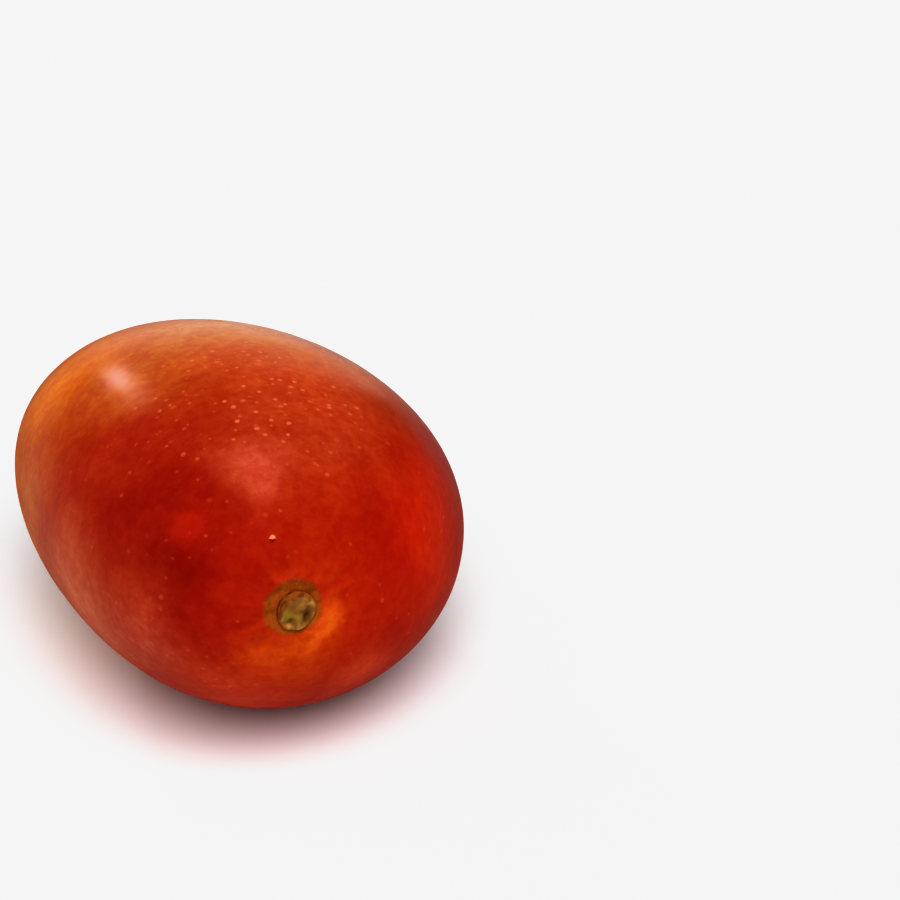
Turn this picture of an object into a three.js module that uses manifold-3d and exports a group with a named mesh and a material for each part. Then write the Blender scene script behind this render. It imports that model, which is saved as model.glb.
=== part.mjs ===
// A ripe mango lying on its cheek: the whole fruit, with the broken stub of its stalk in the pit at the stem end.
// Millimetres, +Z up. The stem end faces -Y, the tip +Y, the curved back +X and the straighter belly -X.
// The origin is the middle of the small flat spot that the fruit rests on.
import * as THREE from "three";
import { mergeVertices } from "three/addons/utils/BufferGeometryUtils.js";
import Module from "manifold-3d";

const wasm = await Module();
wasm.setup();

// The fruit's body.
const LENGTH = 130; // from the stem end to the tip
const WIDTH = 94; // from belly to back
const THICKNESS = 76; // from cheek to cheek
const STEM_FULLNESS = 0.04; // how much wider the stem half is than the tip half, as a share
const END_FULLNESS = 0.06; // how much blunter than an ellipse both ends are, as a share
const STEM_BEND = 13; // how far the stem end curves over towards the belly
const TIP_BEND = 5; // how far the tip does
const DIMPLE_DEPTH = 1.2; // the shallow hollow that the stalk grew from
const DIMPLE_RADIUS = 9;
const STALK_SIDESTEP = 2.3; // how far the stalk sits from the core, towards the belly
const BEAK_HEIGHT = 1.8; // the small bump on the belly side of the tip
const BEAK_RADIUS = 7;
const BEAK_ANGLE = THREE.MathUtils.degToRad(28); // from the tip, round towards the belly

// How it lies.
const ROLL = THREE.MathUtils.degToRad(17); // turned about its length, back downwards
const PITCH = THREE.MathUtils.degToRad(3); // stem end lifted
const FLAT_DEPTH = 0.9; // how much of the underside its own weight has pressed flat

// The stem pit and the stub in it.
const PIT_RADIUS = 5.7;
const PIT_FLOOR_RADIUS = 4.7;
const PIT_DEPTH = 1.8;
const STUB_RADIUS = 4;
const STUB_HEIGHT = 1.7;
const STUB_DISH = 0.4; // how far the stub's middle is sunk below its rim
const CLEARANCE = 0.3; // left between the stub and the pit

// How finely the round surfaces are divided.
const BODY_RINGS = 42;
const BODY_SEGMENTS = 64;
const PIT_SEGMENTS = 40;

/** A closed three.js geometry as a manifold-3d solid. */
function solidOf(geometry) {
  const bare = new THREE.BufferGeometry();
  bare.setAttribute("position", geometry.getAttribute("position"));
  bare.setIndex(geometry.getIndex());
  const merged = mergeVertices(bare);
  return new wasm.Manifold(
    new wasm.Mesh({
      numProp: 3,
      vertProperties: new Float32Array(merged.getAttribute("position").array),
      triVerts: new Uint32Array(merged.getIndex().array),
    }),
  );
}

/** A manifold-3d solid as a three.js geometry. */
function geometryOf(solid) {
  const mesh = solid.getMesh();
  const geometry = new THREE.BufferGeometry();
  geometry.setAttribute("position", new THREE.BufferAttribute(mesh.vertProperties, 3));
  geometry.setIndex(new THREE.BufferAttribute(mesh.triVerts, 1));
  geometry.computeVertexNormals();
  return geometry;
}

/** The girth at polar angle t from the stem end, as a share of the greatest. */
function girth(t) {
  const towardsStem = Math.cos(t);
  return Math.sin(t) * (1 + STEM_FULLNESS * towardsStem + END_FULLNESS * towardsStem ** 2);
}

/** How far the core of the fruit lies towards the back at a place y along it. */
function core(y) {
  const share = y / (LENGTH / 2);
  return -(share < 0 ? STEM_BEND : TIP_BEND) * share ** 2;
}

/** A point on the belly's outline, in the plane between the cheeks, at polar angle t from the stem end. */
function bellyPoint(t) {
  const y = (-LENGTH / 2) * Math.cos(t);
  return new THREE.Vector3(core(y) - (WIDTH / 2) * girth(t), y, 0);
}

/** The fruit's body in its own frame, core along Y: a lathed egg, flattened, bent, dimpled and given its beak. */
function bodyGeometry() {
  const outline = [];
  for (let ring = 0; ring <= BODY_RINGS; ring++) {
    const t = (Math.PI * ring) / BODY_RINGS;
    outline.push(new THREE.Vector2(Math.abs(girth(t)), -Math.cos(t)));
  }
  const geometry = new THREE.LatheGeometry(outline, BODY_SEGMENTS);
  geometry.scale(WIDTH / 2, LENGTH / 2, THICKNESS / 2);

  const beakFoot = bellyPoint(Math.PI - BEAK_ANGLE);
  const beakWay = new THREE.Vector3(-Math.sin(BEAK_ANGLE), Math.cos(BEAK_ANGLE), 0);
  const positions = geometry.getAttribute("position");
  const point = new THREE.Vector3();
  for (let i = 0; i < positions.count; i++) {
    point.fromBufferAttribute(positions, i);
    const fromStalk = Math.hypot(point.x + STALK_SIDESTEP, point.z);
    if (point.y < 0) point.y += DIMPLE_DEPTH * Math.exp(-((fromStalk / DIMPLE_RADIUS) ** 2));
    point.x += core(point.y);
    const fromBeak = point.distanceTo(beakFoot);
    point.addScaledVector(beakWay, BEAK_HEIGHT * Math.exp(-((fromBeak / BEAK_RADIUS) ** 2)));
    positions.setXYZ(i, point.x, point.y, point.z);
  }
  return geometry;
}

/** Where the stalk joined the fruit, in the fruit's own frame. */
const stalkHeight = DIMPLE_DEPTH - LENGTH / 2;
const stalkPoint = new THREE.Vector3(core(stalkHeight) - STALK_SIDESTEP, stalkHeight, 0);

/** What is cut away for the stem pit: a plug that widens outwards, standing out well past the skin. */
function pitGeometry() {
  const slope = (PIT_RADIUS - PIT_FLOOR_RADIUS) / PIT_DEPTH;
  const reach = 2 * PIT_DEPTH;
  const outline = [
    new THREE.Vector2(0, -reach),
    new THREE.Vector2(PIT_RADIUS + slope * reach, -reach),
    new THREE.Vector2(PIT_FLOOR_RADIUS, PIT_DEPTH),
    new THREE.Vector2(0, PIT_DEPTH),
  ];
  return new THREE.LatheGeometry(outline, PIT_SEGMENTS).translate(...stalkPoint);
}

/** The stub: a low round button with a rounded rim and a dished middle, its foot on the pit's floor. */
function stubGeometry() {
  const rim = STUB_HEIGHT / 3;
  const outline = [
    new THREE.Vector2(0, STUB_DISH - STUB_HEIGHT),
    new THREE.Vector2(STUB_RADIUS * 0.45, STUB_DISH * 0.6 - STUB_HEIGHT),
    new THREE.Vector2(STUB_RADIUS - rim, -STUB_HEIGHT),
    new THREE.Vector2(STUB_RADIUS - rim * 0.3, -STUB_HEIGHT + rim * 0.3),
    new THREE.Vector2(STUB_RADIUS, -STUB_HEIGHT + rim),
    new THREE.Vector2(STUB_RADIUS, 0),
    new THREE.Vector2(0, 0),
  ];
  return new THREE.LatheGeometry(outline, PIT_SEGMENTS);
}

// The fruit's own frame turned to how it lies, then let down until the floor takes off the flat spot.
const lying = new THREE.Matrix4()
  .makeRotationX(-PITCH)
  .multiply(new THREE.Matrix4().makeRotationY(ROLL));
const body = bodyGeometry().applyMatrix4(lying);
body.computeBoundingBox();
const drop = -body.boundingBox.min.z - FLAT_DEPTH;

const size = 2 * LENGTH;
const aboveFloor = new THREE.BoxGeometry(size, size, size).translate(0, 0, size / 2);
const fruitSolid = solidOf(body)
  .subtract(solidOf(pitGeometry().applyMatrix4(lying)))
  .translate([0, 0, drop])
  .intersect(solidOf(aboveFloor));
const fruitGeometry = geometryOf(fruitSolid);

/** The middle of the flat spot: of all that lies on the floor. */
function flatSpotCentre(geometry) {
  const spot = new THREE.Box3();
  const positions = geometry.getAttribute("position");
  for (let i = 0; i < positions.count; i++) {
    const point = new THREE.Vector3().fromBufferAttribute(positions, i);
    if (point.z < 1e-4) spot.expandByPoint(point);
  }
  return spot.getCenter(new THREE.Vector3());
}
const spotCentre = flatSpotCentre(fruitGeometry);
fruitGeometry.translate(-spotCentre.x, -spotCentre.y, 0);

const skin = new THREE.MeshStandardMaterial({ color: 0xb02a10, roughness: 0.42, metalness: 0 });
const stalkWood = new THREE.MeshStandardMaterial({ color: 0x7d6226, roughness: 0.85, metalness: 0 });

const fruit = new THREE.Mesh(fruitGeometry, skin);
fruit.name = "fruit";

const stub = new THREE.Mesh(stubGeometry(), stalkWood);
stub.name = "stem_stub";
stub.position.copy(stalkPoint);
stub.position.y += PIT_DEPTH - CLEARANCE;
stub.updateMatrix();
stub.applyMatrix4(lying);
stub.position.add(new THREE.Vector3(-spotCentre.x, -spotCentre.y, drop));

const mango = new THREE.Group();
mango.add(fruit, stub);
export default mango;
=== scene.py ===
# %% [markdown]
# # A whole ripe mango, lying on its cheek
# The fruit is one smooth, waxy, red solid with orange blushes and pale dots. The only other piece is the
# dry stub of its stalk, sunk in a corky pit at the stem end. The packed model comes in first, as a fixed
# frame, because it says where both pieces are, and the new surfaces must fill the same space.

# %% Load the frame
import math

import bmesh
import bpy
from mathutils import Matrix, Vector, noise


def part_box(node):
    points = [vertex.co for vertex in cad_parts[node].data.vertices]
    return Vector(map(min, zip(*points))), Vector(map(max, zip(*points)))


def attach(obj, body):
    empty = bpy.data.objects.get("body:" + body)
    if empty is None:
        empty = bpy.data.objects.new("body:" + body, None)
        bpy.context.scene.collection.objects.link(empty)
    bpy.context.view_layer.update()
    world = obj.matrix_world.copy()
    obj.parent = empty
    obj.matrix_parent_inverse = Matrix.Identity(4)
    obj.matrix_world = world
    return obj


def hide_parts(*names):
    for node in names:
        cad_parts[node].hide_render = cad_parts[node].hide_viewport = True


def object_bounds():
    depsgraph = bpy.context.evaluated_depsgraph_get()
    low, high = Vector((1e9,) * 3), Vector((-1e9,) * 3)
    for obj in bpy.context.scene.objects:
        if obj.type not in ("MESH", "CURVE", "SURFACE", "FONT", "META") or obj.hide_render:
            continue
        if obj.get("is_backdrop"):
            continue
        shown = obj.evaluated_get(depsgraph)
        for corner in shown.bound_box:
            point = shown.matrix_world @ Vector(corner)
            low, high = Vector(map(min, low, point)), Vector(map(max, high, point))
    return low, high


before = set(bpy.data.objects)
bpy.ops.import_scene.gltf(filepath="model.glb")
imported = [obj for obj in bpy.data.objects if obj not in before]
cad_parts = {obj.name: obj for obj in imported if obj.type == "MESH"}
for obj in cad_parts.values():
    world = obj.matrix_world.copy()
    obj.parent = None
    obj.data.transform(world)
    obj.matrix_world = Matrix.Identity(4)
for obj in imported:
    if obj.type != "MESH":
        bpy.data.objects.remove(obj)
cad_box = [list(corner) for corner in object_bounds()]
print("nodes:", sorted(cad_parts))
print("box in mm:", [[round(1000 * value, 1) for value in corner] for corner in cad_box])

# %% [markdown]
# ## The fruit's measurements
# A mango is an egg, flattened from cheek to cheek and bent towards its belly. A few lengths describe that,
# so they are kept as names, in metres, and every later step is worked out from them.
#
# They are given in the fruit's own frame, where they are easy to picture: Y runs from the stem end to the
# tip, X from the belly to the back, and Z from the lower cheek to the upper one. One matrix then lays the
# fruit down.

# %% Measurements
MM = 0.001
LENGTH = 130 * MM
WIDTH = 94 * MM
THICKNESS = 76 * MM
STEM_FULLNESS = 0.04
END_FULLNESS = 0.06
STEM_BEND = 13 * MM
TIP_BEND = 5 * MM

DIMPLE_DEPTH = 1.2 * MM
DIMPLE_RADIUS = 9 * MM
STALK_SIDESTEP = 2.3 * MM
BEAK_HEIGHT = 1.8 * MM
BEAK_RADIUS = 7 * MM
BEAK_ANGLE = math.radians(28)

PIT_DEPTH = 1.8 * MM
STUB_RADIUS = 4 * MM
STUB_HEIGHT = 1.7 * MM
CLEARANCE = 0.3 * MM

ROLL = math.radians(17)
PITCH = math.radians(3)
print("length : width : thickness = 1 :", round(WIDTH / LENGTH, 2), ":", round(THICKNESS / LENGTH, 2))

# %% [markdown]
# ## Two small curves that shape everything
# `bump` is a round swelling that fades out on all sides, and `ease` is a smooth step from 0 to 1. Hard
# steps would show as creases on a glossy skin, so every change of shape that shows is one of these two.

# %% Bump and ease
def bump(distance, radius):
    """1 where distance is 0, falling smoothly to nearly nothing at twice the radius."""
    return math.exp(-((distance / radius) ** 2))


def ease(low, high, value):
    """0 up to low, 1 from high, and a smooth step between."""
    share = min(max((value - low) / (high - low), 0), 1)
    return share * share * (3 - 2 * share)


print("half way up the step:", ease(0, 1, 0.5))

# %% [markdown]
# ## Where the skin is
# A point on the skin is named by two angles: how far it is from the stem end, from 0 at the stalk to 180
# degrees at the tip, and how far round it is, from 0 on the back through 90 on the upper cheek to 180 on
# the belly. The same function places the mesh, the stem pit and, later, each blush of colour, so they
# always agree.

# %% Points on the skin
def girth(from_stem):
    """The radius of the body's section, as a share of its greatest."""
    towards_stem = math.cos(from_stem)
    return math.sin(from_stem) * (1 + STEM_FULLNESS * towards_stem + END_FULLNESS * towards_stem**2)


def core(y):
    """How far the middle of the body lies towards the back, at a place y along it."""
    share = y / (LENGTH / 2)
    return -(STEM_BEND if share < 0 else TIP_BEND) * share**2


def plain_body(from_stem, around):
    """The flattened egg, before it is bent and without its dimple and beak."""
    y = -LENGTH / 2 * math.cos(from_stem)
    x = WIDTH / 2 * girth(from_stem) * math.cos(around)
    z = THICKNESS / 2 * girth(from_stem) * math.sin(around)
    return Vector((x, y, z))


BEAK_FOOT = plain_body(math.pi - BEAK_ANGLE, math.pi)
BEAK_FOOT.x += core(BEAK_FOOT.y)
BEAK_WAY = Vector((-math.sin(BEAK_ANGLE), math.cos(BEAK_ANGLE), 0))


def skin_point(from_stem, around):
    """The skin, dimple and beak included, in the fruit's own frame."""
    point = plain_body(from_stem, around)
    if point.y < 0:
        point.y += DIMPLE_DEPTH * bump(math.hypot(point.x + STALK_SIDESTEP, point.z), DIMPLE_RADIUS)
    point.x += core(point.y)
    return point + BEAK_WAY * BEAK_HEIGHT * bump((point - BEAK_FOOT).length, BEAK_RADIUS)


def skin_place(from_stem_degrees, around_degrees):
    """The same, by angles in degrees."""
    return skin_point(math.radians(from_stem_degrees), math.radians(around_degrees))


stalk_height = DIMPLE_DEPTH - LENGTH / 2
STALK_POINT = Vector((core(stalk_height) - STALK_SIDESTEP, stalk_height, 0))
print("the stalk grew at, in mm:", [round(1000 * value, 1) for value in STALK_POINT])

# %% [markdown]
# ## Laying it down
# The fruit lies rolled a little onto its back, with the stem end slightly raised. The turn is a rotation
# matrix. The shift comes from the frame: the middle of the packed stub says where that end of the fruit
# must be.

# %% The lying pose
turned = Matrix.Rotation(-PITCH, 4, "X") @ Matrix.Rotation(ROLL, 4, "Y")
stub_foot_y = PIT_DEPTH - CLEARANCE
stub_middle = turned @ (STALK_POINT + Vector((0, stub_foot_y - STUB_HEIGHT / 2, 0)))
low, high = (Vector(corner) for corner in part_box("stem_stub"))
shift = (low + high) / 2 - stub_middle
LYING = Matrix.Translation(shift) @ turned
print("shifted by, in mm:", [round(1000 * value, 2) for value in shift])

# %% [markdown]
# ## From a bmesh to a piece
# Every new piece ends the same way: its normals point out, its faces are smooth, its mesh is put in an
# object that sits unturned at the origin, it is hung on the body it rides on and given its finish, and the
# packed solid it stands for is hidden. That is one helper.

# %% Finish a piece
def piece_from(bm, name, node, material):
    """Turns a bmesh, already laid down, into the piece that stands for a node."""
    bmesh.ops.recalc_face_normals(bm, faces=bm.faces)
    mesh = bpy.data.meshes.new(name)
    bm.to_mesh(mesh)
    bm.free()
    mesh.shade_smooth()
    mesh.materials.append(material)
    piece = bpy.data.objects.new(name, mesh)
    bpy.context.collection.objects.link(piece)
    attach(piece, "root")
    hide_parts(node)
    triangles = sum(len(face.vertices) - 2 for face in mesh.polygons)
    print(name, "has", triangles, "triangles")

# %% [markdown]
# ## Shader arithmetic
# Materials below are long sums of masks and noises. Written as nodes that is dozens of lines, so one small
# class wraps a socket and lets Python's own + - * add the Math nodes. Every other node comes from its
# `node` method.

# %% Sockets that can be added up
class Flow:
    """An output socket of a node tree, with arithmetic."""

    def __init__(self, tree, socket=None):
        self.tree = tree
        self.socket = socket

    def node(self, kind, settings=None, inputs=None, output=0):
        """Adds a node, sets its settings, then gives each input a value or a link."""
        made = self.tree.nodes.new(kind)
        for name, value in (settings or {}).items():
            setattr(made, name, value)
        for key, value in (inputs or {}).items():
            if isinstance(value, Flow):
                self.tree.links.new(value.socket, made.inputs[key])
            else:
                made.inputs[key].default_value = value
        return Flow(self.tree, made.outputs[output])

    def math(self, operation, first, second):
        """Adds a Math node. Either value may be a number or a socket."""
        return self.node("ShaderNodeMath", {"operation": operation}, {0: first, 1: second})

    def __add__(self, other):
        return self.math("ADD", self, other)

    def __sub__(self, other):
        return self.math("SUBTRACT", self, other)

    def __rsub__(self, other):
        return self.math("SUBTRACT", other, self)

    def __mul__(self, other):
        return self.math("MULTIPLY", self, other)

    __radd__ = __add__
    __rmul__ = __mul__


print("operators:", [name for name in vars(Flow) if name.strip("_")[-3:] in ("add", "sub", "mul")])

# %% [markdown]
# ## Words for painting
# On top of that come the words that a painter would use: a colour, a blend of two colours, a soft edge, a
# cloudiness, a patch round a place on the skin. Colours are written as they look on a screen, 0 to 255, and
# turned into the linear values that light is computed with.

# %% Painting helpers
def paint(red, green, blue):
    """A screen colour as linear RGBA."""
    shares = [value / 255 for value in (red, green, blue)]
    return tuple(s / 12.92 if s < 0.04045 else ((s + 0.055) / 1.055) ** 2.4 for s in shares) + (1,)


def blend(amount, under, over):
    """The colour under, covered with the colour over by an amount from 0 to 1."""
    inputs = {0: amount, 6: under, 7: over}
    return amount.node("ShaderNodeMix", {"data_type": "RGBA"}, inputs, output=2)


def edge(value, low, high):
    """A smooth step of a socket, from 0 at low to 1 at high. low may be the larger one."""
    if low > high:
        return 1 - edge(value, high, low)
    inputs = {0: value, 1: low, 2: high}
    return value.node("ShaderNodeMapRange", {"interpolation_type": "SMOOTHSTEP"}, inputs)


def cloud(place, size, detail, roughness=0.5):
    """Cloudy noise from 0 to 1, with blobs of about that size in metres."""
    inputs = {"Vector": place, "Scale": 1 / size, "Detail": detail, "Roughness": roughness}
    return place.node("ShaderNodeTexNoise", None, inputs)


def ragged(place, size, reach):
    """The place, pushed about by noise, so that whatever is drawn there gets an uneven edge."""
    inputs = {"Vector": place, "Scale": 1 / size, "Detail": 3.0}
    push = place.node("ShaderNodeTexNoise", None, inputs, output=1)
    centred = push.node("ShaderNodeVectorMath", {"operation": "SUBTRACT"}, {0: push, 1: (0.5, 0.5, 0.5)})
    scaled = push.node("ShaderNodeVectorMath", {"operation": "SCALE"}, {0: centred, 3: 2 * reach})
    return place.node("ShaderNodeVectorMath", {"operation": "ADD"}, {0: place, 1: scaled})


def distance(place, middle):
    """How far each point is from a middle, in metres."""
    inputs = {0: place, 1: tuple(middle)}
    return place.node("ShaderNodeVectorMath", {"operation": "DISTANCE"}, inputs, output=1)


def patch(place, from_stem, around, radius, softness):
    """1 round a place on the skin that is given by its two angles, 0 beyond the radius.

    The softness is the share of the radius over which it fades.
    """
    return edge(distance(place, skin_place(from_stem, around)), radius, radius * (1 - softness))


print("a grey of 128 on the screen is", round(paint(128, 128, 128)[0], 3), "in light")

# %% [markdown]
# ## Seeing places in the fruit's own frame
# Textures read Object coordinates, so they stay fixed to the skin. A Mapping node of the Texture kind
# undoes the lying pose, so a shader can speak of the stem end and the cheeks just as the shape does.

# %% Coordinates for shaders
def new_material(name):
    """A material, its Principled shader, and the place of each point in the fruit's own frame."""
    material = bpy.data.materials.new(name)
    material.use_nodes = True
    tree = material.node_tree
    shader = tree.nodes["Principled BSDF"]
    here = Flow(tree).node("ShaderNodeTexCoord", output="Object")
    inputs = {"Vector": here, "Location": tuple(LYING.translation), "Rotation": tuple(LYING.to_euler())}
    own = here.node("ShaderNodeMapping", {"vector_type": "TEXTURE"}, inputs)
    return material, shader, own


def connect(flow, shader, name):
    """Feeds an input of the shader."""
    flow.tree.links.new(flow.socket, shader.inputs[name])


print("the fruit is turned by, in degrees:", [round(math.degrees(turn), 1) for turn in LYING.to_euler()])

# %% [markdown]
# ## The skin's colour
# A mango reddens where the sun reached it, and stays orange in the shade of its leaves, so the colour is
# built as it grew: an orange ground, a red blush over most of it, darker and lighter clouds in the blush, a
# few marks, and the pale dots through which the skin breathes. One pale patch on the cheek is partly a
# painted reflection: the broad sheen of the big soft box, put into the colour.
#
# Each cloud is a soft round patch, laid over the ones before it. Its place is first pushed about by noise
# of two sizes, which is what turns a stack of discs into the uneven edges of something that ripened.

# %% Clouds of colour
RED = paint(164, 46, 14)
GOLD = paint(206, 122, 30)
ORANGE = paint(194, 102, 6)
PALE_ORANGE = paint(200, 128, 70)
AMBER = paint(190, 92, 24)
GLOW = paint(216, 122, 40)
SCARLET = paint(196, 54, 8)
WINE = paint(144, 36, 15)
DARK_WINE = paint(120, 24, 8)
ROSE = paint(174, 74, 40)
PALE_ROSE = paint(210, 96, 54)
SALMON = paint(188, 96, 70)
PALE_SALMON = paint(206, 122, 98)
SUNLIT = paint(238, 150, 44)
EMBER = paint(150, 33, 4)
BRIGHT = paint(190, 62, 6)

# Each cloud: degrees from the stem, degrees round, radius in mm, strength, colour.
CLOUDS = {
    "shaded underside": (150, 262, 92, 1.0, GOLD),
    "tip": (128, 150, 68, 0.95, ORANGE),
    "top of the shoulder": (84, 96, 44, 0.95, ORANGE),
    "palest crest": (100, 103, 27, 0.9, PALE_ORANGE),
    "flank": (66, 206, 24, 0.6, ORANGE),
    "right shoulder": (36, 38, 34, 0.8, SCARLET),
    "sunny shoulder": (84, 132, 24, 0.42, PALE_ORANGE),
    "sunlit edge": (106, 146, 20, 0.5, SUNLIT),
    "pale flank": (93, 186, 18, 0.35, PALE_ORANGE),
    "hazy flank": (66, 203, 22, 0.35, PALE_SALMON),
    "rosy cheek": (52, 102, 38, 0.95, ROSE),
    "rosy crest": (64, 88, 25, 0.47, PALE_ROSE),
    "rosy ridge": (76, 108, 20, 0.3, PALE_ROSE),
    "rosy brow": (33, 112, 15, 0.55, ROSE),
    "wine belly": (32, 176, 38, 0.9, WINE),
    "wine shoulder": (48, 155, 22, 0.45, WINE),
    "darkest wine": (33, 171, 11, 0.5, DARK_WINE),
    "redder belly": (66, 158, 17, 0.4, ROSE),
    "rosy flank": (44, 192, 15, 0.45, ROSE),
    "rosy foot": (45, 209, 17, 0.6, SALMON),
    "paler foot": (33, 250, 20, 0.37, PALE_ROSE),
    "right foot": (30, 308, 13, 0.45, PALE_ROSE),
    "shade beside the stalk": (20, 56, 19, 0.6, EMBER),
    "shade on the right": (24, 2, 14, 0.35, EMBER),
    "bright edge": (38, 28, 12, 0.6, BRIGHT),
    "collar round the stalk": (2, 0, 22, 0.16, AMBER),
    "amber under the stalk": (12, 264, 12, 0.52, AMBER),
    "glow beside the stalk": (4.2, 338, 5, 0.5, GLOW),
    "glow below the stalk": (8, 276, 5, 0.3, GLOW),
    # Partly pale bloom, partly a painted reflection: the broad sheen of the big soft box, put into the
    # colour.
    "pale bloom and painted key sheen": (42.5, 119, 10.3, 0.78, SALMON),
    "foot of the pale bloom and painted key sheen": (36, 124, 8, 0.4, SALMON),
}

# The noises that push the clouds about: the size of each, and how far it pushes.
SWIRLS = [(26 * MM, 7 * MM), (7 * MM, 2.4 * MM)]
CLOUD_SOFTNESS = 0.9


def blushed(own):
    """The skin without its marks: soft clouds of colour, laid one over another."""
    place = own
    for size, reach in SWIRLS:
        place = ragged(place, size, reach)
    colour = RED
    for from_stem, around, radius, strength, over in CLOUDS.values():
        cover = patch(place, from_stem, around, radius * MM, CLOUD_SOFTNESS)
        colour = blend(cover * strength, colour, over)
    return colour


print(len(CLOUDS), "clouds")

# %% [markdown]
# ## Mottling
# Seen close, no part of the skin has one colour. Three sizes of noise do that: thumbprints, grains of rice,
# and specks where the wax lies thicker. Each one tints the skin a little darker or lighter about its own
# mean, so the mottled skin is no darker than the clouds that were painted.

# %% Mottling
def tinted(colour, amount, low, high):
    """The colour multiplied by a tint that goes from low to high as the amount goes from 0 to 1."""
    tint = blend(amount, low, high)
    settings = {"data_type": "RGBA", "blend_type": "MULTIPLY"}
    return colour.node("ShaderNodeMix", settings, {0: 1.0, 6: colour, 7: tint}, output=2)


# Each noise: size, detail and roughness, where its step begins and ends, the darkest tint, the lightest.
MOTTLING = {
    "thumbprints": (8 * MM, 3.0, 0.5, 0.36, 0.64, (0.96, 0.89, 0.87, 1), (1.03, 1.12, 1.14, 1)),
    "grains of rice": (2.1 * MM, 3.0, 0.6, 0.34, 0.66, (0.96, 0.84, 0.82, 1), (1.03, 1.16, 1.19, 1)),
    "specks of wax": (0.8 * MM, 2.0, 0.6, 0.56, 0.74, (1, 1, 1, 1), (1.03, 1.25, 1.4, 1)),
}


def mottled(own, colour):
    """The colour with all three sizes of mottling in it."""
    for size, detail, roughness, start, end, darkest, lightest in MOTTLING.values():
        amount = edge(cloud(own, size, detail, roughness), start, end)
        colour = tinted(colour, amount, darkest, lightest)
    return colour


print("mottling, in mm:", {name: round(1000 * row[0], 1) for name, row in MOTTLING.items()})

# %% [markdown]
# ## Dots that breathe
# The pale dots are lenticels, pores that corked over. They crowd on the upper shoulder and are faint and
# scarce elsewhere. A Voronoi texture scatters one point in each small cell of space. Where a point lies
# close to the skin it shows as a dot, and the cell's own random colour says how wide it is, how pale, and
# whether it is there.

# %% Lenticels
DOT = paint(220, 136, 102)
DOT_CELL = 2.2 * MM
DOT_EDGE, DOT_CORE = 0.23, 0.05  # where a dot ends and where it is full, as shares of its cell
DOT_SPREAD = 0.11  # how much wider the widest dots are
CROWD = (68, 106, 38 * MM, 0.75)  # where they crowd: the two angles, radius and softness
SCARCE = 0.22  # the share of dots that are there far from the crowd
FAINT = 0.25  # how strong they are there
FAINTEST = 0.3  # the strength of the least pale dot


def dots(own):
    """Up to 1 on a dot, 0 between them."""
    inputs = {"Vector": ragged(own, 1.4 * MM, 0.22 * MM), "Scale": 1 / DOT_CELL}
    near = own.node("ShaderNodeTexVoronoi", None, inputs, "Distance")
    chance = own.node("ShaderNodeTexVoronoi", None, inputs, "Color")
    width, presence, paleness = (
        chance.node("ShaderNodeSeparateColor", None, {0: chance}, name) for name in ("Red", "Green", "Blue")
    )
    crowd = patch(own, *CROWD)
    there = edge(SCARCE + (1 - SCARCE) * crowd - presence, 0.0, 0.05)
    dot = edge(near - DOT_SPREAD * width, DOT_EDGE, DOT_CORE)
    return dot * there * (FAINTEST + (1 - FAINTEST) * paleness) * (FAINT + (1 - FAINT) * crowd)


print("one dot at most in each", round(1000 * DOT_CELL, 1), "mm of the skin")

# %% [markdown]
# ## Two marks
# A mango in a shop has been handled. This one has a faint rubbed patch on the belly and a nick from a
# fingernail above the stalk, drawn as a pale half-moon with a dark edge under it. The half-moon is a
# round patch, cut off by a plane.

# %% Marks
PALE_HALF_MOON = paint(228, 142, 114)
DARK_UNDER_NICK = paint(96, 14, 4)
RUBBED = paint(186, 58, 30)
RUB = (37, 153, 5 * MM, 0.8)  # the two angles, radius and softness
RUB_STRENGTH = 0.32
NICK = skin_place(21.7, 122.7)
NICK_RADIUS = 1.05 * MM
NICK_UP = Vector((-0.08, 0.32, 0.94))
PALE_FROM, PALE_FULL = -0.15 * MM, 0.1 * MM  # heights above the nick's middle
DARK_FROM, DARK_FULL, DARK_BACK, DARK_TO = -0.75 * MM, -0.45 * MM, -0.25 * MM, 0.0
DARK_STRENGTH = 0.7


def with_marks(own, colour):
    """The colour with the rubbed patch and the nick."""
    rubbed = patch(ragged(own, 4 * MM, 1.4 * MM), *RUB)
    colour = blend(rubbed * RUB_STRENGTH, colour, RUBBED)
    place = ragged(own, 0.9 * MM, 0.38 * MM)
    away_from_nick = place.node("ShaderNodeVectorMath", {"operation": "SUBTRACT"}, {0: place, 1: tuple(NICK)})
    inputs = {0: away_from_nick, 1: tuple(NICK_UP)}
    height = place.node("ShaderNodeVectorMath", {"operation": "DOT_PRODUCT"}, inputs, output=1)
    round_nick = edge(distance(place, NICK), NICK_RADIUS, 0.7 * NICK_RADIUS)
    under = edge(height, DARK_TO, DARK_BACK) * edge(height, DARK_FROM, DARK_FULL)
    # Darker just under the middle of the nick, paler above it.
    colour = blend(round_nick * under * DARK_STRENGTH, colour, DARK_UNDER_NICK)
    return blend(round_nick * edge(height, PALE_FROM, PALE_FULL), colour, PALE_HALF_MOON)


print("the nick is this far from the stalk, in mm:", round(1000 * (NICK - STALK_POINT).length, 1))

# %% [markdown]
# ## The scar round the stalk
# The wall of the stem pit is cork: brown and dry, and painted darker towards the crevice at its foot as
# painted shade. Outside it the skin is drawn up into a rosy lip, painted paler along its raised edge as a
# painted highlight, and faint streaks run out from it. The streaks are noise that reads only the direction
# from the stalk, so that each one is as long as the mask lets it be.

# %% Scar
CORK = paint(152, 92, 38)
CORK_DARK = paint(120, 66, 24)
# Darker cork at the crevice: painted shade.
CREVICE_SHADE = paint(134, 78, 32)
# Rosy, and paler than the skin as a painted highlight along the raised lip.
LIP_ROSE_AND_HIGHLIGHT = paint(194, 88, 52)
PIT_WAY = math.radians(148)
PIT_MIDDLE = Vector((math.cos(PIT_WAY), 0, math.sin(PIT_WAY))) * 0.9 * MM

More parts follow.
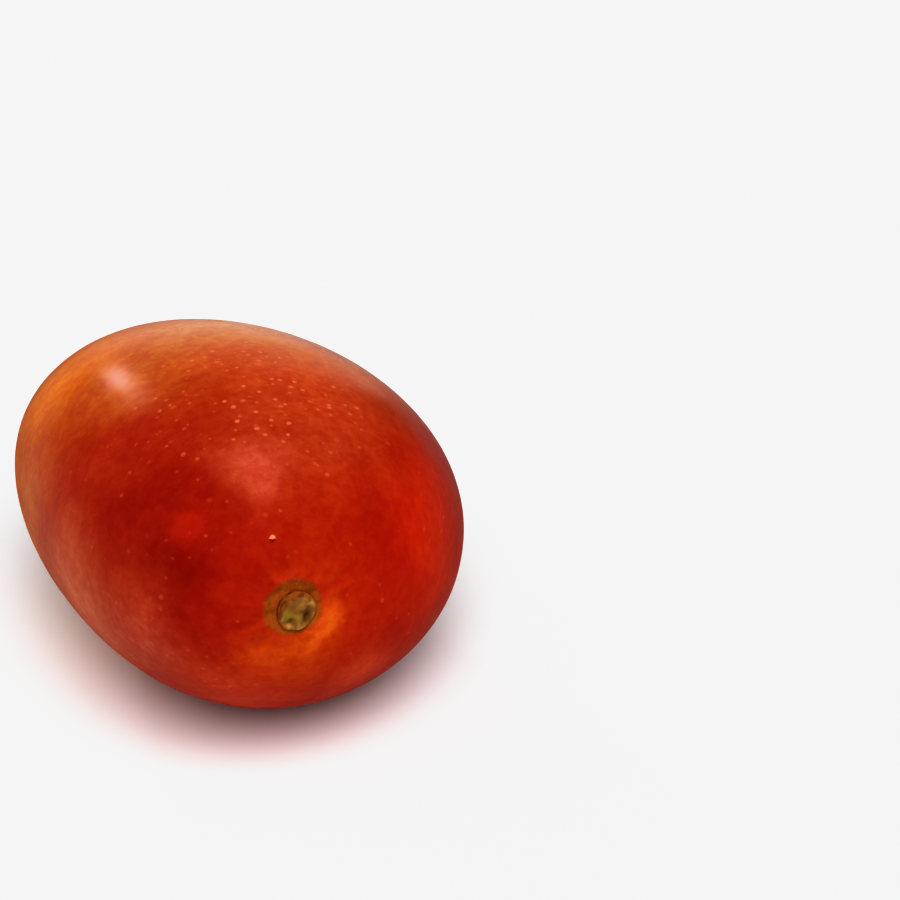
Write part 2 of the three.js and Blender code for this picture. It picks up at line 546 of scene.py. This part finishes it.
# Distances from the pit's middle: where each part of the scar has faded out, and where it is full.
LIP_EDGE, LIP_CORE = 8.8 * MM, 6.2 * MM
STREAKS_START, STREAKS_FULL, STREAKS_END = 6 * MM, 8 * MM, 17 * MM
CORK_EDGE, CORK_CORE = 6.5 * MM, 5.2 * MM
CREVICE_EDGE, CREVICE_CORE = 4.4 * MM, 4.0 * MM  # from the stalk's middle

# How strongly each covers what is under it.
STREAK_STRENGTH = 0.08
LIP_ROSE_AND_HIGHLIGHT_STRENGTH = 0.3
CORK_STRENGTH = 0.92
CRUMB_STRENGTH = 0.8


def spokes(own):
    """Streaks that run out from the stalk."""
    inputs = {0: own, 1: tuple(STALK_POINT)}
    beside = own.node("ShaderNodeVectorMath", {"operation": "SUBTRACT"}, inputs)
    flat = beside.node("ShaderNodeVectorMath", {"operation": "MULTIPLY"}, {0: beside, 1: (1, 0, 1)})
    way = flat.node("ShaderNodeVectorMath", {"operation": "NORMALIZE"}, {0: flat})
    return edge(cloud(way, 0.3, 2.0), 0.4, 0.66)


def with_scar(own, colour):
    """The colour with the cork, lip and streaks, and how much of each point is cork."""
    from_stalk = distance(ragged(own, 3 * MM, 0.9 * MM), STALK_POINT + PIT_MIDDLE)
    round_lip = edge(from_stalk, LIP_EDGE, LIP_CORE)
    streaked = edge(from_stalk, STREAKS_START, STREAKS_FULL) * edge(from_stalk, STREAKS_END, STREAKS_FULL)
    colour = blend(streaked * spokes(own) * STREAK_STRENGTH, colour, GLOW)
    # The lip: rosy, and painted paler as a painted highlight along its raised edge.
    rosy = edge(cloud(own, 3.6 * MM, 2.0), 0.42, 0.68)
    colour = blend(round_lip * rosy * LIP_ROSE_AND_HIGHLIGHT_STRENGTH, colour, LIP_ROSE_AND_HIGHLIGHT)
    cork = edge(from_stalk, CORK_EDGE, CORK_CORE)
    crumbs = edge(cloud(own, 2.2 * MM, 3.0), 0.4, 0.64)
    bark = blend(crumbs * CRUMB_STRENGTH, CORK, CORK_DARK)
    # Painted shade: the cork darkens towards the crevice at the stub's foot.
    foot = edge(distance(own, STALK_POINT), CREVICE_EDGE, CREVICE_CORE)
    bark = blend(foot * crumbs, bark, CREVICE_SHADE)
    return blend(cork * CORK_STRENGTH, colour, bark), cork


print("the pit's middle is off the stalk's, in mm:", [round(1000 * value, 2) for value in PIT_MIDDLE])

# %% [markdown]
# ## The skin's finish
# All of it comes together in one material. The gloss is low, because ripe skin is waxy and matt by turns:
# the upper cheek has been polished a little by hands, the rest is duller, and the cork round the stalk has
# no shine at all. Roughness carries that. The bump is finer than the mesh: an orange-peel grain, and the
# rims of the dots.

# %% Skin
GLOSS = 0.048
PEEL_DEPTH = 0.05 * MM
PEEL_STRENGTH = 0.4
DOT_STRENGTH = 0.85
POLISHED = 0.21  # the roughness where hands have polished the skin, then what is added to it
CLOUDED, DULL, DRY = 0.1, 0.25, 0.4  # by the wax, away from the polished cheek, and on cork
POLISHED_CHEEK = (70, 118, 66 * MM, 0.5)  # the two angles, radius and softness


def skin_material():
    """The whole skin, from its blushes to its grain."""
    material, shader, own = new_material("skin")
    dot = dots(own)
    colour = mottled(own, blushed(own))
    colour = blend(dot * DOT_STRENGTH, colour, DOT)
    colour, cork = with_scar(own, with_marks(own, colour))
    connect(colour, shader, "Base Color")
    matt = 1 - patch(own, *POLISHED_CHEEK)
    wax = cloud(own, 4 * MM, 3.0)
    connect(POLISHED + CLOUDED * wax + DULL * matt + DRY * cork, shader, "Roughness")
    shader.inputs["Specular IOR Level"].default_value = GLOSS
    peel = 0.5 * cloud(own, 0.9 * MM, 2.0) + 1.4 * cloud(own, 2.6 * MM, 2.0)
    relief = peel + 0.1 * dot + 2.0 * cork * cloud(own, 0.7 * MM, 3.0)
    inputs = {"Strength": PEEL_STRENGTH, "Distance": PEEL_DEPTH, "Height": relief}
    connect(own.node("ShaderNodeBump", None, inputs), shader, "Normal")
    return material


skin = skin_material()
print("the skin has", len(skin.node_tree.nodes), "nodes")

# %% [markdown]
# ## The skin's shape
# Real skin is never quite even: the flesh under it swells and sinks by a few tenths of a millimetre, and
# the gloss shows it at once. A sphere with many rings is bent into the formula of the body, and then each
# point is pressed a little inwards by slow noise. It only ever goes inwards, so the fruit keeps its
# measured size.
#
# The rings of the sphere are drawn together at the stem end, where the pit needs a finer mesh than the
# cheeks.

# %% Unevenness
AROUND_STEPS = 300
ALONG_STEPS = 250
STEM_CROWDING = 0.22
INSET = 0.1 * MM
SWELLS = [(0.4 * MM, 38 * MM), (0.12 * MM, 11 * MM)]  # how deep and how wide


def crowded(from_pole):
    """Draws the rings together towards the stem."""
    share = from_pole / math.pi
    return math.pi * (STEM_CROWDING * share + (1 - STEM_CROWDING) * share**2)


def swell(point, size):
    """Slow noise from 0 to 1, the same in every run."""
    return min(max(0.5 + 0.7 * noise.noise(point / size), 0), 1)


def uneven(point):
    """How far the skin lies under its ideal surface at a point."""
    under = INSET
    for depth, size in SWELLS:
        under += depth * swell(point, size)
    return under


first_ring = WIDTH / 2 * girth(crowded(math.pi / ALONG_STEPS))
print("at the stem the first ring is", round(1000 * first_ring, 2), "mm from the pole")

# %% [markdown]
# ## The stem pit
# Where the stalk broke off, the skin dives into a shallow pit. Its wall is a corky slope that has grown up
# against the stub and leaves no more than a hair's breadth between, so the mesh dives under the stub just
# inside its edge. Outside the slope stand a slightly raised lip, and faint puckers that run out like the
# gathers round a button. All of them depend on the distance from the stalk and on the direction from it.
#
# The slope is wider on one side, and noise that reads the direction makes its edge wander.

# %% Pit, lip and puckers
CREVICE_RADIUS = 3.6 * MM
CREVICE_WIDTH = 0.15 * MM
FOOT_WANDER = 0.3 * MM
SLOPE_DEPTH = 0.2 * MM
SLOPE_LOPSIDED = 0.3  # how much deeper than the mean the deepest side is, as a share
SLOPE_RADIUS = 5.8 * MM
MOUTH_SHIFT = 0.45 * MM
MOUTH_WANDER = 0.45 * MM
CRUMB_DEPTH = 0.14 * MM
CRUMBS_AT, CRUMBS_WIDTH = 5.3 * MM, 1.0 * MM
LIP_HEIGHT = 0.2 * MM
LIP_OUTSIDE, LIP_WIDTH = 0.7 * MM, 1.2 * MM
PUCKERS = 11
PUCKER_DEPTH = 0.16 * MM
PUCKERS_RISE = (6 * MM, 8 * MM)
PUCKERS_FADE = (9 * MM, 19 * MM)
NICK_DEPTH = 0.3 * MM


def pressed(point):
    """How far a point near the stalk goes into the fruit."""
    x, z = point.x - STALK_POINT.x, point.z - STALK_POINT.z
    from_stalk = math.hypot(x, z)
    if point.y > 0 or from_stalk > 4 * SLOPE_RADIUS:
        return 0
    way = math.atan2(z, x)
    ring = Vector((math.cos(way), math.sin(way), 0))
    wander = noise.noise(ring * 1.7) + 0.5 * noise.noise(ring * 4.3)
    mouth = SLOPE_RADIUS + MOUTH_SHIFT * math.cos(way - PIT_WAY) + MOUTH_WANDER * wander
    depth = SLOPE_DEPTH * (1 + SLOPE_LOPSIDED * math.cos(way - PIT_WAY))
    slope = (STALK_POINT.y + depth - point.y) * (1 - ease(0.95 * STUB_RADIUS, mouth, from_stalk))
    foot = CREVICE_RADIUS + FOOT_WANDER * noise.noise(ring * 2.6)
    crevice = 1 - ease(foot, foot + CREVICE_WIDTH, from_stalk)
    crumbs = noise.noise(point / (1.1 * MM)) + 0.6 * noise.noise(point / (0.5 * MM))
    crumb = CRUMB_DEPTH * crumbs * bump(from_stalk - CRUMBS_AT, CRUMBS_WIDTH)
    lip = LIP_HEIGHT * bump(from_stalk - mouth - LIP_OUTSIDE, LIP_WIDTH)
    lip *= 0.7 + 0.6 * noise.noise(ring * 2.1)
    fold = 0.5 + 0.5 * math.sin(PUCKERS * way + 3 * noise.noise(ring * 1.3))
    fading = ease(*PUCKERS_RISE, from_stalk) * (1 - ease(*PUCKERS_FADE, from_stalk))
    return slope + (PIT_DEPTH - depth) * crevice + crumb - lip + PUCKER_DEPTH * fold * fading


def nicked(point):
    """How far the fingernail went in."""
    depth = NICK_DEPTH * bump((point - NICK).length, 0.8 * NICK_RADIUS)
    return depth * (1 - ease(-0.2 * MM, 0.5 * MM, (point - NICK).dot(NICK_UP)))


pit_edge = STALK_POINT + Vector((SLOPE_RADIUS, 0, 0))
print("at its edge the pit is pressed in by, in mm:", round(1000 * pressed(pit_edge), 2))

# %% [markdown]
# ## The fruit
# Now the sphere can be bent. It is turned so that its poles lie along Y, each point is moved to its place
# on the skin, and the unevenness, the nick and the pit are pressed in. Once it has been laid down, whatever
# is under the floor is pushed up to it: that is the small flat spot that the fruit's own weight has made.

# %% The fruit
def fruit_mesh():
    """The skin as a bmesh, laid down."""
    bm = bmesh.new()
    bmesh.ops.create_uvsphere(bm, u_segments=AROUND_STEPS, v_segments=ALONG_STEPS, radius=1)
    bmesh.ops.rotate(bm, cent=(0, 0, 0), matrix=Matrix.Rotation(math.pi / 2, 3, "X"), verts=bm.verts)
    for vert in bm.verts:
        from_pole = math.acos(max(-1, min(1, -vert.co.y)))
        vert.co = skin_point(crowded(from_pole), math.atan2(vert.co.z, vert.co.x))
    bmesh.ops.recalc_face_normals(bm, faces=bm.faces)
    bm.normal_update()
    inwards = [(vert, -vert.normal * (uneven(vert.co) + nicked(vert.co))) for vert in bm.verts]
    for vert, step in inwards:
        vert.co += step + Vector((0, pressed(vert.co), 0))
    bmesh.ops.transform(bm, matrix=LYING, verts=bm.verts)
    for vert in bm.verts:
        vert.co.z = max(vert.co.z, 0)
    return bm


piece_from(fruit_mesh(), "mango_skin", "fruit", skin)

# %% [markdown]
# ## Where the stub has shrunk
# The stalk snapped off and dried. What is left is a low woody plug, and where the bundles that fed the
# fruit ran through it, it has shrunk into hollows. They are named once, because the mesh is pressed in
# there and the wood is painted darkest there: partly darker bundle wood, partly painted shade, which is
# darker in the deeper hollows.

# %% Hollows of the stub
# Each hollow: across and above the stalk's middle, half width and half height, depth, all in mm.
HOLLOWS = {
    "great bundle": (2.6, -1.1, 1.2, 1.5, 1.0),
    "lower bundle": (-0.6, -2.2, 0.85, 0.65, 0.5),
    "small bundle": (-1.1, 2.0, 0.45, 0.6, 0.3),
    "torn side": (-2.8, 0.8, 0.9, 1.1, 0.75),
}
RIM_FROM = 0.75 * STUB_RADIUS
RIM_HELD = 0.8  # how much of each hollow the rim is spared


def hollow_depth(x, z):
    """How deep the dry end is sunk at a place on it. The rim stands, because the bark held it."""
    sunk = 0
    for across, above, half_width, half_height, depth in HOLLOWS.values():
        off = math.hypot((x - across * MM) / half_width, (z - above * MM) / half_height)
        sunk += depth * MM * bump(off, 1 * MM)
    return sunk * (1 - RIM_HELD * ease(RIM_FROM, STUB_RADIUS, math.hypot(x, z)))


print("the great bundle is sunk by, in mm:", round(1000 * hollow_depth(2.6 * MM, -1.1 * MM), 2))

# %% [markdown]
# ## The stub's wood
# Dry wood with three colours in it: tan at the rim, brown in the middle and olive where it is still a
# little green. The tan at the rim is partly painted glints, where its edge would catch the light. Noise
# breaks the boundaries up. A few pale spots stand at the rim: partly paler splinters, partly painted
# glints. Each hollow is then filled with dark, by the same ovals that the mesh uses, so colour and shape
# agree from every side; the dark is partly the wood of the bundles and partly painted shade. Last, the
# cork of the pit has crept over one edge of the stub, so everything outside a circle a little off its
# middle is cork.

# %% Wood
TAN = paint(152, 120, 62)
# Pale spots at the rim: partly paler wood, partly painted glints.
PALE_WOOD_AND_GLINT_COLOUR = paint(184, 150, 92)
BROWN = paint(126, 86, 44)
OLIVE = paint(138, 122, 44)
# Dark for the hollows: partly darker bundle wood, partly painted shade.
DARK_WOOD_AND_SHADE = paint(84, 50, 20)

# Ovals across the end, measured as the hollows are. The stains also have a strength and a colour.
STAINS = [(-1.2, 1.0, 2.2, 1.8, 0.75, BROWN), (-1.3, -1.3, 2.4, 1.6, 0.85, OLIVE)]
# Pale spots at the rim, partly splinters and partly painted glints.
PALE_SPOTS_AND_GLINTS = [(-1.9, 1.9, 0.5, 0.45), (-2.7, -2.0, 0.45, 1.0), (2.7, 1.9, 0.8, 0.6), (-0.9, -3.2, 0.9, 0.5)]
PALE_SPOT_AND_GLINT_STRENGTH = 0.7
RIM_TAN_AND_GLINT_STRENGTH = 0.8

# The circle inside which the cork hasn't crept over the wood.
SOUND_MIDDLE = Vector((0.7, 0, -0.6)) * MM
SOUND_CORE, SOUND_EDGE = 3.2 * MM, 3.9 * MM
CREPT_STRENGTH = 0.9

WOOD_GLOSS = 0.25
FIBRE_DEPTH = 0.12 * MM
FIBRE_STRENGTH = 0.8


def oval(place, across, above, half_width, half_height):
    """1 in the middle of an oval on the end of the stub, 0 outside it."""
    beside = {0: place, 1: tuple(STALK_POINT + Vector((across * MM, 0, above * MM)))}
    away_from = place.node("ShaderNodeVectorMath", {"operation": "SUBTRACT"}, beside)
    squeeze = (1 / half_width, 0, 1 / half_height)
    shrunk = place.node("ShaderNodeVectorMath", {"operation": "MULTIPLY"}, {0: away_from, 1: squeeze})
    off = shrunk.node("ShaderNodeVectorMath", {"operation": "LENGTH"}, {0: shrunk}, output=1)
    return edge(off, 1.25 * MM, 0)


def stub_material():
    """The dry wood, and the cork that has crept over it."""
    material, shader, own = new_material("stalk wood")
    place = ragged(own, 1.6 * MM, 0.5 * MM)
    grain = edge(cloud(own, 1.8 * MM, 3.0, 0.5), 0.36, 0.64)
    colour = blend(grain, BROWN, TAN)
    for *where, strength, stain in STAINS:
        colour = blend(oval(place, *where) * strength, colour, stain)
    # Tan laid on towards the rim: partly the wood's own colour, partly painted glints along the edge.
    rim = edge(distance(place, STALK_POINT), 2.9 * MM, 3.9 * MM) * grain
    colour = blend(rim * RIM_TAN_AND_GLINT_STRENGTH, colour, TAN)
    # The pale spots: partly paler wood, partly painted glints.
    for where in PALE_SPOTS_AND_GLINTS:
        colour = blend(oval(place, *where) * PALE_SPOT_AND_GLINT_STRENGTH, colour, PALE_WOOD_AND_GLINT_COLOUR)
    # Each hollow painted dark, more so where it is deeper: partly darker wood, partly painted shade.
    for *where, depth in HOLLOWS.values():
        colour = blend(oval(place, *where) * min(1, depth + 0.15), colour, DARK_WOOD_AND_SHADE)
    crept = edge(distance(place, STALK_POINT + SOUND_MIDDLE), SOUND_CORE, SOUND_EDGE)
    colour = blend(crept * CREPT_STRENGTH, colour, blend(grain, CORK_DARK, CORK))
    connect(colour, shader, "Base Color")
    connect(0.55 + 0.35 * grain, shader, "Roughness")
    shader.inputs["Specular IOR Level"].default_value = WOOD_GLOSS
    fibres = cloud(own, 0.5 * MM, 3.0)
    inputs = {"Strength": FIBRE_STRENGTH, "Distance": FIBRE_DEPTH, "Height": fibres}
    connect(own.node("ShaderNodeBump", None, inputs), shader, "Normal")
    return material


wood = stub_material()
print("the wood has", len(wood.node_tree.nodes), "nodes")

# %% [markdown]
# ## The stub's shape
# Its half profile is a short row of points, and a spin round the axis makes the body. Noise then crumbles
# its rim and roughens its end, and the hollows are pressed in. Both its end and its side only ever go
# inwards, so the stub stays inside the packed solid.

# %% Stub
STUB_STEPS = 128
STUB_RINGS = 30
SIDE_RINGS = 6
STUB_DISH = 0.35 * MM
WEATHER_DEPTH = 0.9 * MM  # how far below the end the weather has reached
CRUMBLED = 0.2 * MM
ROUGHENED = 0.1 * MM
SHRUNK = 0.03  # how much narrower the rim can be, as a share


def stub_profile():
    """Half of the stub's outline, as distances from the axis and places along it, end first."""
    end = stub_foot_y - STUB_HEIGHT
    rows = [(STUB_RADIUS * step / STUB_RINGS, end) for step in range(STUB_RINGS + 1)]
    rows += [(STUB_RADIUS, end + STUB_HEIGHT * step / SIDE_RINGS) for step in range(1, SIDE_RINGS + 1)]
    return rows + [(STUB_RADIUS / 2, stub_foot_y), (0, stub_foot_y)]


def weathered(place):
    """A place on the fresh stub, moved to where it is on the dry one."""
    x, y, z = place
    end = stub_foot_y - STUB_HEIGHT
    from_axis = math.hypot(x, z)
    at_end = 1 - ease(end, end + WEATHER_DEPTH, y)
    rim = ease(0.7 * STUB_RADIUS, STUB_RADIUS, from_axis)
    grain = noise.noise(place / (1.2 * MM)) + 0.6 * noise.noise(place / (0.5 * MM))
    dish = STUB_DISH * (1 - (from_axis / STUB_RADIUS) ** 2)
    crumble = CRUMBLED * rim * swell(place, 1.5 * MM)
    sunk = at_end * (dish + hollow_depth(x, z) + crumble + ROUGHENED * (grain + 1.1))
    narrowing = 1 - SHRUNK * rim * swell(place + Vector((5 * MM, 0, 0)), 2.0 * MM)
    return Vector((x * narrowing, min(y + sunk, stub_foot_y), z * narrowing))


def stub_mesh():
    """The stub as a bmesh, in its place on the fruit as it lies."""
    bm = bmesh.new()
    line = [bm.verts.new((radius, y, 0)) for radius, y in stub_profile()]
    edges = [bm.edges.new(pair) for pair in zip(line, line[1:])]
    bmesh.ops.spin(
        bm, geom=line + edges, cent=(0, 0, 0), axis=(0, 1, 0), angle=2 * math.pi,
        steps=STUB_STEPS, use_merge=True,
    )
    bmesh.ops.remove_doubles(bm, verts=bm.verts, dist=0.001 * MM)
    for vert in bm.verts:
        vert.co = STALK_POINT + weathered(vert.co)
    bmesh.ops.transform(bm, matrix=LYING, verts=bm.verts)
    return bm


piece_from(stub_mesh(), "stalk_stub", "stem_stub", wood)

# %% [markdown]
# ## Camera
# The camera stands a little to the left of the stem end and looks down on it, so that the scar shows. Its
# directions are worked out first, because the lights are placed from them as well.

# %% Camera
CAMERA_TURN = math.radians(-28)
CAMERA_RISE = math.radians(24.5)
CAMERA_DISTANCE = 0.432
FOCAL_LENGTH = 75
AIM = (0.0419, 0.0188, 0.04)  # to the right, away and up, from where the fruit rests
right = Vector((math.cos(CAMERA_TURN), math.sin(CAMERA_TURN), 0))
away = Vector((-math.sin(CAMERA_TURN), math.cos(CAMERA_TURN), 0))
up = Vector((0, 0, 1))
aim = right * AIM[0] + away * AIM[1] + up * AIM[2]
towards_camera = up * math.sin(CAMERA_RISE) - away * math.cos(CAMERA_RISE)
camera_data = bpy.data.cameras.new("camera")
camera_data.lens = FOCAL_LENGTH
camera = bpy.data.objects.new("camera", camera_data)
bpy.context.collection.objects.link(camera)
camera.location = aim + towards_camera * CAMERA_DISTANCE
camera.rotation_euler = towards_camera.to_track_quat("Z", "Y").to_euler()
bpy.context.scene.camera = camera
print("camera at:", [round(value, 3) for value in camera.location])

# %% [markdown]
# ## Floor
# A wide sheet of white paper. It is only there to catch the shadow and to throw light up under the fruit,
# so it is staged: it belongs to the picture and not to the part. It is matt, since a sheen would mirror the
# fruit.

# %% Floor
FLOOR_HALF = 8
PAPER_WHITE = (0.86, 0.86, 0.87, 1)
bm = bmesh.new()
bmesh.ops.create_grid(bm, x_segments=1, y_segments=1, size=FLOOR_HALF)
floor_mesh = bpy.data.meshes.new("floor")
bm.to_mesh(floor_mesh)
bm.free()
floor = bpy.data.objects.new("floor", floor_mesh)
bpy.context.collection.objects.link(floor)
floor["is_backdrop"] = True
paper = bpy.data.materials.new("white paper")
paper.use_nodes = True
paper_shader = paper.node_tree.nodes["Principled BSDF"]
paper_shader.inputs["Base Color"].default_value = PAPER_WHITE
paper_shader.inputs["Roughness"].default_value = 0.9
paper_shader.inputs["Specular IOR Level"].default_value = 0.0
floor_mesh.materials.append(paper)
print("floor of", 2 * FLOOR_HALF, "m a side")

# %% [markdown]
# ## Light
# A glossy, rounded thing shows its lights as shapes, so each light here has a real size. One large soft
# box, in front and fairly high, does nearly all the work: it lights the fruit, and its width is what makes
# the shadow tuck in softly underneath. Reflections leave it out, because so big a sheet would wash out the
# red. It is huge and stands a hundred metres off, so from here it looks no bigger than a soft box over a
# table, but it lights the far end of the paper as brightly as the near end.
#
# A second light, a small window low behind the fruit, adds almost nothing. But its reflection is the one
# bright spot on the shoulder, and that spot tells the eye that the skin is waxy and which way it curves. A
# pale wall behind is there for its reflection alone: the haze along the top edge, where the skin is seen
# glancing.

# %% Soft boxes
middle = (Vector(cad_box[0]) + Vector(cad_box[1])) / 2
HAZE = (1, 0.85, 0.74)


def softbox(name, side, rise, reach, width, radiance):
    """A round soft light: degrees right of the camera, degrees up, distance, width and brightness."""
    side, rise = math.radians(side), math.radians(rise)
    way = (right * math.sin(side) - away * math.cos(side)) * math.cos(rise) + up * math.sin(rise)
    data = bpy.data.lights.new(name, "AREA")
    data.shape = "DISK"
    data.size = width
    # A round lamp gives off pi times its area times its brightness.
    data.energy = radiance * math.pi * math.pi * (width / 2) ** 2
    light = bpy.data.objects.new(name, data)
    bpy.context.collection.objects.link(light)
    light.location = middle + way * reach
    light.rotation_euler = way.to_track_quat("Z", "Y").to_euler()
    return light


key = softbox("key", side=11, rise=47, reach=100, width=80, radiance=9.0)
# Its broad sheen on the cheek is painted into the skin's colour instead.
key.visible_glossy = False
softbox("small window", side=-147, rise=23, reach=1.2, width=0.09, radiance=50.0)
wall = softbox("wall behind", side=184, rise=8, reach=2.0, width=1.5, radiance=1.45)
wall.data.color = HAZE
wall.visible_diffuse = False
wall.visible_camera = False

# %% [markdown]
# ## The room
# The rest of the room is nearly dark, so the shadow stays deep and is warmed by the light that the fruit
# itself throws down. It is paler on the left, and palest low down there, which keeps that side of the fruit
# from sinking away. A faint glow overhead gives the rest of the wax something to reflect.
#
# A camera held low would look past the edge of the paper into that dark. A Light Path node adds white
# there, for what the camera sees straight on and for nothing else, so the backdrop is white and lights
# nothing.

# %% Room
DARK_ROOM, PALE_LEFT, PALE_LOW_LEFT, OVERHEAD = 0.08, 0.3, 0.3, 0.15
BACKDROP = 1.2
world = bpy.data.worlds.new("studio")
bpy.context.scene.world = world
world.use_nodes = True
background = world.node_tree.nodes["Background"]
sky = Flow(world.node_tree).node("ShaderNodeTexCoord", output="Generated")
height = sky.node("ShaderNodeSeparateXYZ", None, {0: sky}, output="Z")
to_left = {0: sky, 1: tuple(-right)}
leftness = sky.node("ShaderNodeVectorMath", {"operation": "DOT_PRODUCT"}, to_left, output=1)
low_left = edge(height, 0.3, 0.0) * edge(leftness, -0.6, 0.6)
seen = sky.node("ShaderNodeLightPath", output="Is Camera Ray")
glow = DARK_ROOM + PALE_LEFT * edge(leftness, 0.0, 0.9) + PALE_LOW_LEFT * low_left
glow = glow + OVERHEAD * edge(height, 0.84, 1.0)
strength = glow + BACKDROP * seen
world.node_tree.links.new(strength.socket, background.inputs["Strength"])
background.inputs["Color"].default_value = (1, 1, 1, 1)
print("nodes of the room:", len(world.node_tree.nodes))

# %% [markdown]
# ## Tone
# A camera does not record light evenly: it deepens the dark parts, and lets white paper level off just
# short of pure white. The view's curve does the same. Through the darks it is a power of the light, which
# makes the reds rich, and its last few points bend it over to the white of the paper. Beyond its end it is
# kept level, so that nothing brighter than the paper can come out darker than it.

# %% Tone
TONE_GAIN = 1.3
TONE_POWER = 1.6
POWER_POINTS = (0.03, 0.07, 0.13, 0.2, 0.3, 0.4, 0.5, 0.6, 0.7)
TONE = [(light, TONE_GAIN * light**TONE_POWER) for light in POWER_POINTS]
TONE += [(0.77, 0.825), (0.84, 0.888), (0.9, 0.908)]
WHITE = 0.913
ALL_COLOURS = 3  # the curve that red, green and blue share
view = bpy.context.scene.view_settings
view.view_transform = "Standard"
view.use_curve_mapping = True
view.curve_mapping.extend = "HORIZONTAL"
tone = view.curve_mapping.curves[ALL_COLOURS]
tone.points[1].location = (1, WHITE)
for dark, shown in TONE:
    tone.points.new(dark, shown)
tone.points[len(tone.points) - 1].handle_type = "VECTOR"
view.curve_mapping.update()
print("tone curve with", len(tone.points), "points")

# %% [markdown]
# ## Size
# The new surfaces must fill the same space as the packed model, so both boxes are printed.

# %% Size
boxes = {"cad": cad_box, "visual": [list(corner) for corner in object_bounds()]}
for name, (low, high) in boxes.items():
    print(name, [round(1000 * value, 2) for value in low], [round(1000 * value, 2) for value in high])
